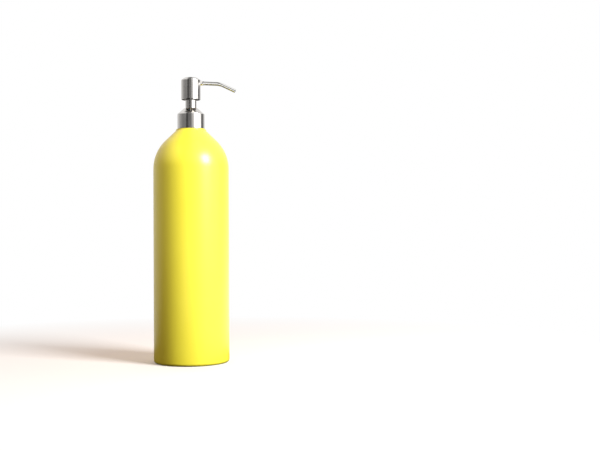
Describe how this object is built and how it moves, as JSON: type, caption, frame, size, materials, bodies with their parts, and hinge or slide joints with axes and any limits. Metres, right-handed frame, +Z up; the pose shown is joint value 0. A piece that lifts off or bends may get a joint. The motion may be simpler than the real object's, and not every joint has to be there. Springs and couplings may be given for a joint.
{
  "type": "dish soap bottle",
  "caption": "Tall refillable dish soap bottle: coated aluminium body with a domed shoulder, and a steel-clad press pump with a thin bent spout.",
  "frame": {"origin": "centre of the foot ring, on the plane the bottle stands on", "axes": "+Z up along the bottle's axis, +X towards the spout's tip"},
  "size_m": [0.0972, 0.088, 0.3333],
  "materials": {
    "yellow_coating": "satin powder coating",
    "brushed_steel": "fine brushed",
    "spring_steel": "drawn wire",
    "ball_steel": "polished",
    "white_plastic": "moulded",
    "natural_plastic": "milky",
    "seal_foam": "soft closed foam"
  },
  "bodies": {
    "bottle": {"bottle": "yellow_coating"},
    "pump_body": {"pump_housing": "natural_plastic", "neck_gasket": "seal_foam", "stem_guide": "white_plastic", "ball_retainer": "white_plastic", "dip_tube": "natural_plastic", "return_spring": "spring_steel"},
    "closure": {"collar_shell": "brushed_steel", "screw_cap": "white_plastic"},
    "piston_seal": {"piston": "natural_plastic"},
    "head": {"stem": "white_plastic", "stem_sleeve": "brushed_steel", "outlet_seat": "white_plastic", "head_shell": "brushed_steel", "head_insert": "white_plastic", "spout": "brushed_steel", "spout_ferrule": "brushed_steel"},
    "inlet_valve": {"inlet_ball": "ball_steel"},
    "outlet_valve": {"outlet_ball": "ball_steel"}
  },
  "joints": [
    {"name": "pump_lift", "type": "slide", "parent": "bottle", "child": "pump_body", "axis": [0, 0, 1], "range_m": [0, 0.0064]},
    {"name": "closure_turn", "type": "hinge", "parent": "pump_body", "child": "closure", "pos_m": [0, 0, 0.28], "axis": [0, 0, 1], "range_deg": [0, 540]},
    {"name": "pump_plunge", "type": "slide", "parent": "pump_body", "child": "piston_seal", "axis": [0, 0, -1], "range_m": [0, 0.012], "stiffness_N_per_m": 700, "springref_m": -0.006, "deforming": ["return_spring"]},
    {"name": "head_swivel", "type": "hinge", "parent": "piston_seal", "child": "head", "pos_m": [0, 0, 0.32], "axis": [0, 0, 1], "continuous": true},
    {"name": "inlet_ball_lift", "type": "slide", "parent": "pump_body", "child": "inlet_valve", "axis": [0, 0, 1], "range_m": [0, 0.0015]},
    {"name": "outlet_ball_lift", "type": "slide", "parent": "head", "child": "outlet_valve", "axis": [0, 0, 1], "range_m": [0, 0.0015]}
  ],
  "couplings": [
    {"joint": "pump_lift", "follows": "closure_turn", "m_per_rad": 0.00067375}
  ]
}
